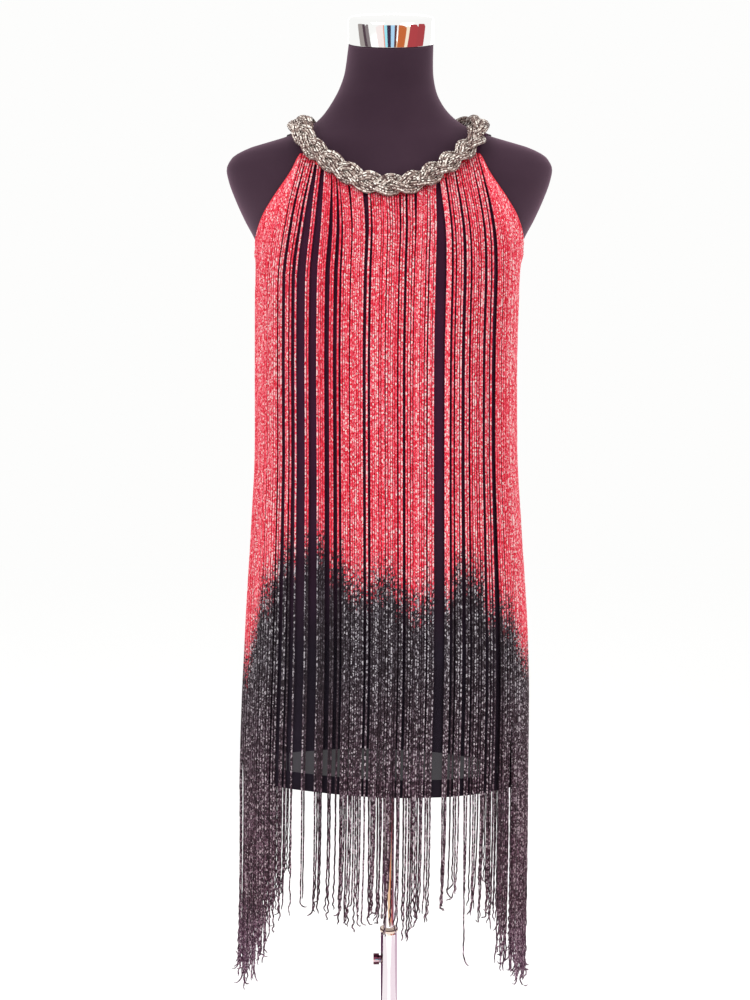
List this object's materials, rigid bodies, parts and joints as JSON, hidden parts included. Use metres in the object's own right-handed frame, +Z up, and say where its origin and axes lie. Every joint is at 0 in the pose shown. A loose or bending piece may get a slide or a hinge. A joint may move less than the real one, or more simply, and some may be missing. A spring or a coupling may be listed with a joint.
{
  "type": "fringed mini dress on a dress form",
  "caption": "Halter mini dress with long yarn fringe and a braided collar, on a limbless dress form with a telescopic stand.",
  "frame": {"origin": "on the floor under the middle of the stand's pole", "axes": "+Z up, -Y towards the front of the dress, +X towards the wearer's left"},
  "size_m": [0.385, 0.3, 1.5663],
  "materials": {
    "base_steel": "satin",
    "chrome": "polished",
    "bush_nylon": "satin",
    "form_jersey": "matte jersey",
    "slip_jersey": "matte jersey",
    "fringe_yarn": "twisted metallic yarn",
    "collar_lurex": "metallic knitted cord"
  },
  "bodies": {
    "stand": {"stand_base": "base_steel", "stand_tube": "chrome", "tube_bush": "bush_nylon"},
    "screw": {"thumbscrew": "chrome"},
    "rod": {"height_rod": "chrome"},
    "form": {"dress_form": "form_jersey", "neck_cap": "chrome", "slip_front": "slip_jersey", "slip_back": "slip_jersey", "neck_fringe": "fringe_yarn", "right_armhole_fringe": "fringe_yarn", "left_armhole_fringe": "fringe_yarn", "collar_cord_a": "collar_lurex", "collar_cord_b": "collar_lurex", "collar_cord_c": "collar_lurex"}
  },
  "joints": [
    {"name": "height_slide", "type": "slide", "parent": "stand", "child": "rod", "axis": [0, 0, 1], "range_m": [-0.18, 0.18]},
    {"name": "form_swivel", "type": "hinge", "parent": "rod", "child": "form", "pos_m": [0, 0, 0.8], "axis": [0, 0, 1], "continuous": true},
    {"name": "thumbscrew_turn", "type": "hinge", "parent": "stand", "child": "screw", "pos_m": [-0.015, 0, 0.424], "axis": [1, 0, 0], "continuous": true}
  ]
}
